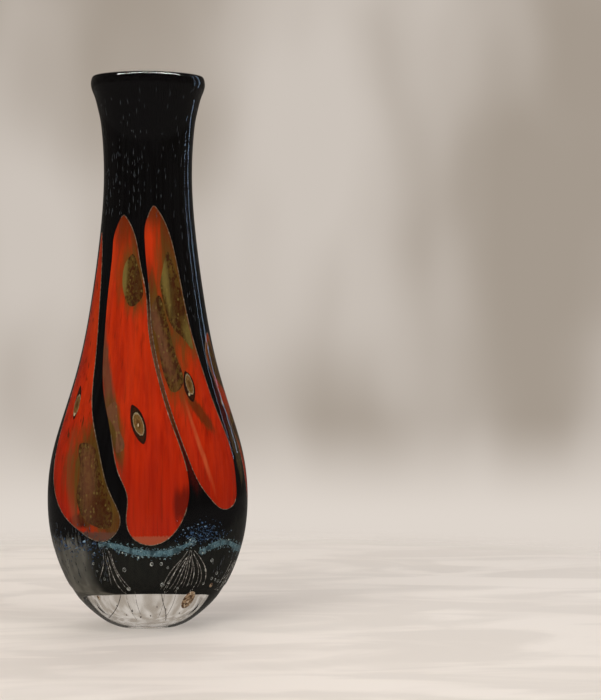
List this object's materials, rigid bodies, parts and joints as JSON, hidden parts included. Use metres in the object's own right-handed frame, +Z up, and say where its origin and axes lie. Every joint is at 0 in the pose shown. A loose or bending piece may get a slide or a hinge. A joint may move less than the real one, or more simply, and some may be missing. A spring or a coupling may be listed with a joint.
{
  "type": "art glass vase",
  "caption": "Tall oval vase of cased glass with a swelling base, slim neck and flared lip; vermilion petals on black under a clear outer layer.",
  "frame": {"origin": "middle of the flat ground foot, on the surface that the vase stands on", "axes": "+Z up through the mouth, X along the wide side of the oval, -Y out of the front face"},
  "size_m": [0.1092, 0.0668, 0.3],
  "materials": {
    "clear_glass": "clear, fire polished",
    "black_glass": "opaque black, gloss under clear glass",
    "charcoal_glass": "opaque charcoal, gloss",
    "smoke_glass": "opaque smoky charcoal, gloss under clear glass",
    "vermilion_glass": "opaque vermilion, gloss under clear glass",
    "olive_glass": "olive aventurine, fine glittering grain",
    "murrina_glass": "stretched cane slices in tan, brown and cream",
    "trail_glass": "blue-grey, speckled",
    "frit_glass": "crushed cobalt blue"
  },
  "bodies": {
    "root": {"clear_casing": "clear_glass", "inner_gather": "charcoal_glass", "black_overlay": "black_glass", "smoke_coat": "smoke_glass", "petal_left": "vermilion_glass", "petal_front": "vermilion_glass", "petal_right_front": "vermilion_glass", "petal_right": "vermilion_glass", "petal_right_back": "vermilion_glass", "petal_back": "vermilion_glass", "petal_left_back": "vermilion_glass", "olive_left": "olive_glass", "olive_front_tip": "olive_glass", "olive_front_strip": "olive_glass", "olive_right_front": "olive_glass", "olive_right_band": "olive_glass", "olive_right_top": "olive_glass", "olive_right_streak": "olive_glass", "olive_right_back": "olive_glass", "olive_back": "olive_glass", "olive_left_back": "olive_glass", "murrina_left": "murrina_glass", "murrina_front": "murrina_glass", "murrina_right_front": "murrina_glass", "murrina_right": "murrina_glass", "murrina_right_back": "murrina_glass", "murrina_back": "murrina_glass", "trail_front": "trail_glass", "trail_right": "trail_glass", "trail_back": "trail_glass", "frit_right": "frit_glass", "frit_left": "frit_glass"}
  },
  "joints": []
}
